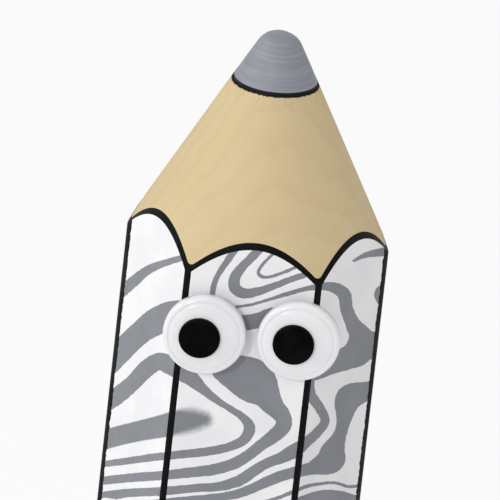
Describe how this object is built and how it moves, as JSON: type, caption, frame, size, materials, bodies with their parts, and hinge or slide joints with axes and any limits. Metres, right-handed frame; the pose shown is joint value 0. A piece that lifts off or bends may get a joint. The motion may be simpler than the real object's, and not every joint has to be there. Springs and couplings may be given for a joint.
{
  "type": "pencil stub",
  "caption": "Short hexagonal pencil with a blunt sharpened point, a marbled grey and white wrap, and domed craft eyes stuck on one flat.",
  "frame": {"origin": "middle of the cut end, on the axis of the lead", "axes": "+Z along the lead, from the cut end to the tip; -Y out of the flat that carries the eyes; +X to the right of that flat as it is looked at"},
  "size_m": [0.0114, 0.0113, 0.0358],
  "materials": {
    "graphite": "satin, slightly metallic sheen",
    "cedar": "bare, freshly cut",
    "film": "semi-gloss marbled print over a black base coat",
    "foam": "matt closed-cell foam",
    "eye_white": "glossy",
    "eye_black": "glossy"
  },
  "bodies": {
    "root": {"graphite_lead": "graphite", "slat_front": "cedar", "slat_back": "cedar", "marbled_film": "film", "eye_pad_left": "foam", "eye_pad_right": "foam", "eye_disc_left": "eye_white", "eye_disc_right": "eye_white", "pupil_left": "eye_black", "pupil_right": "eye_black"}
  },
  "joints": []
}
